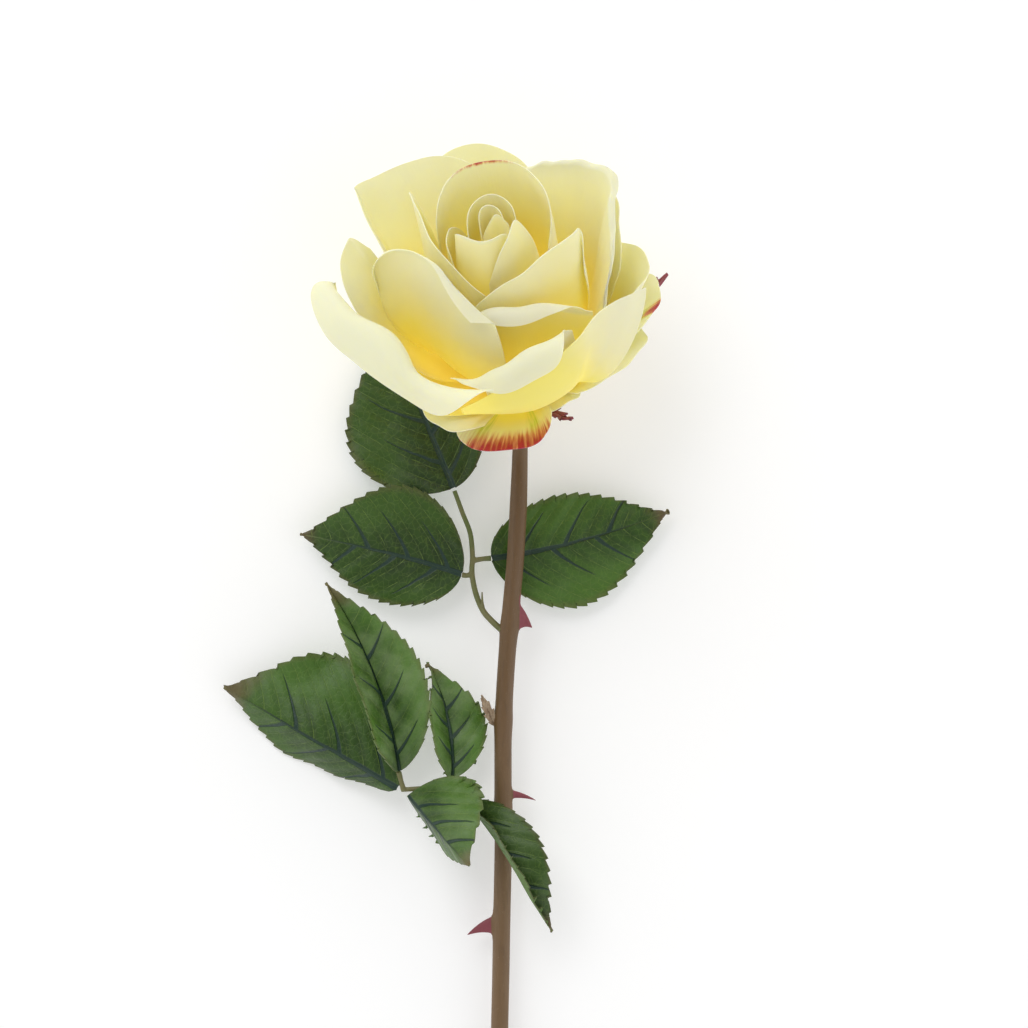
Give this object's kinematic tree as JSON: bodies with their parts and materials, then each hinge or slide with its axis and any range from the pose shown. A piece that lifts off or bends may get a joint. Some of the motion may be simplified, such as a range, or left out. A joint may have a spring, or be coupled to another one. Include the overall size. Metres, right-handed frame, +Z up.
{
  "type": "cut rose",
  "caption": "Long-stemmed cut rose in full bloom, with separate cream-yellow petals and two leaves, for laying flat or standing in a vase.",
  "frame": {"origin": "middle of the rose's bounding box, on the surface it lies on", "axes": "+Z up from the surface, +Y along the stem from its cut end towards the bloom, +X to the right as the rose is looked down on with the bloom at the top"},
  "size_m": [0.153, 0.4012, 0.097],
  "materials": {
    "petals": "soft cream-yellow, deeper yellow towards the foot, with crimson and green streaks on some rims",
    "leaves": "satin dark green, blue-green veins, paler underneath, reddish-brown at the tips",
    "stem": "satin tan-brown bark with crimson prickles",
    "leaf_stalks": "satin olive green",
    "sepals": "matt dark red and brown",
    "hip": "satin olive green",
    "bract": "dry, papery beige"
  },
  "bodies": {
    "root": {"hip": "hip", "petal_core": "petals", "petal_bud_1": "petals", "petal_bud_2": "petals", "petal_bud_3": "petals", "petal_bud_4": "petals", "petal_bud_5": "petals", "petal_heart_1": "petals", "petal_heart_2": "petals", "petal_heart_3": "petals", "petal_mid_1": "petals", "petal_mid_2": "petals", "petal_mid_3": "petals", "petal_mid_4": "petals", "petal_outer_1": "petals", "petal_outer_2": "petals", "petal_outer_3": "petals", "petal_outer_4": "petals", "petal_outer_5": "petals", "petal_outer_6": "petals", "petal_outer_7": "petals", "petal_guard_1": "petals", "petal_guard_2": "petals", "petal_guard_3": "petals", "petal_guard_4": "petals", "petal_guard_5": "petals", "petal_guard_6": "petals", "petal_guard_7": "petals", "petal_guard_8": "petals", "sepal_1": "sepals", "sepal_2": "sepals", "sepal_3": "sepals", "sepal_4": "sepals", "sepal_5": "sepals", "stem": "stem", "upper_leaf_stalk": "leaf_stalks", "upper_leaflet_1": "leaves", "upper_leaflet_2": "leaves", "upper_leaflet_3": "leaves", "lower_leaf_stalk": "leaf_stalks", "lower_leaflet_1": "leaves", "lower_leaflet_2": "leaves", "lower_leaflet_3": "leaves", "lower_leaflet_4": "leaves", "lower_leaflet_5": "leaves", "dry_bract": "bract"}
  },
  "joints": []
}
